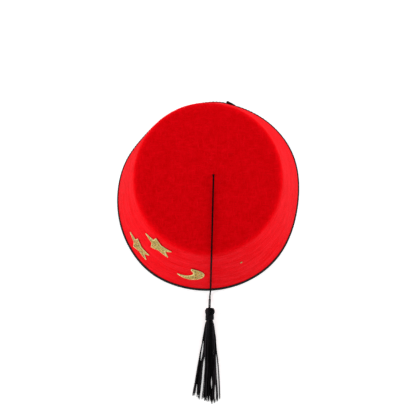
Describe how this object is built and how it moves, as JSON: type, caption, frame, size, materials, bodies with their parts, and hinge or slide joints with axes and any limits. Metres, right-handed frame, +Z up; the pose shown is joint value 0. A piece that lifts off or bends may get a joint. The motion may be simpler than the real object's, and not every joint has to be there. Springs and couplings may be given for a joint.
{
  "type": "fez hat",
  "caption": "Domed felt fez with a black bound rim, a glitter crescent and stars on the wall, and a thin crown cord that ends in a black tassel.",
  "frame": {"origin": "on the floor, under the middle of the hat without its cord and tassel", "axes": "+Z up through the crown, -Y towards the front, where the tassel lies, +X to the right of a viewer who looks at the front"},
  "size_m": [0.1903, 0.3112, 0.1038],
  "materials": {
    "red_felt": "moulded polyester felt, matt, with short loose fibres and fine mottling",
    "black_tape": "thin woven binding tape, matt black, stitched along its edge",
    "gold_glitter": "pale gold glitter on foam sheet, with tiny flakes that catch the light",
    "black_cord": "twisted black rayon cord with a soft sheen"
  },
  "bodies": {
    "root": {"hat_body": "red_felt", "rim_binding": "black_tape", "star_upper": "gold_glitter", "star_lower": "gold_glitter", "crescent": "gold_glitter", "tassel_cord": "black_cord", "stop_knot": "black_cord", "end_knot": "black_cord", "tassel_loop": "black_cord", "tassel_wrap": "black_cord", "tassel_strands": "black_cord"}
  },
  "joints": []
}
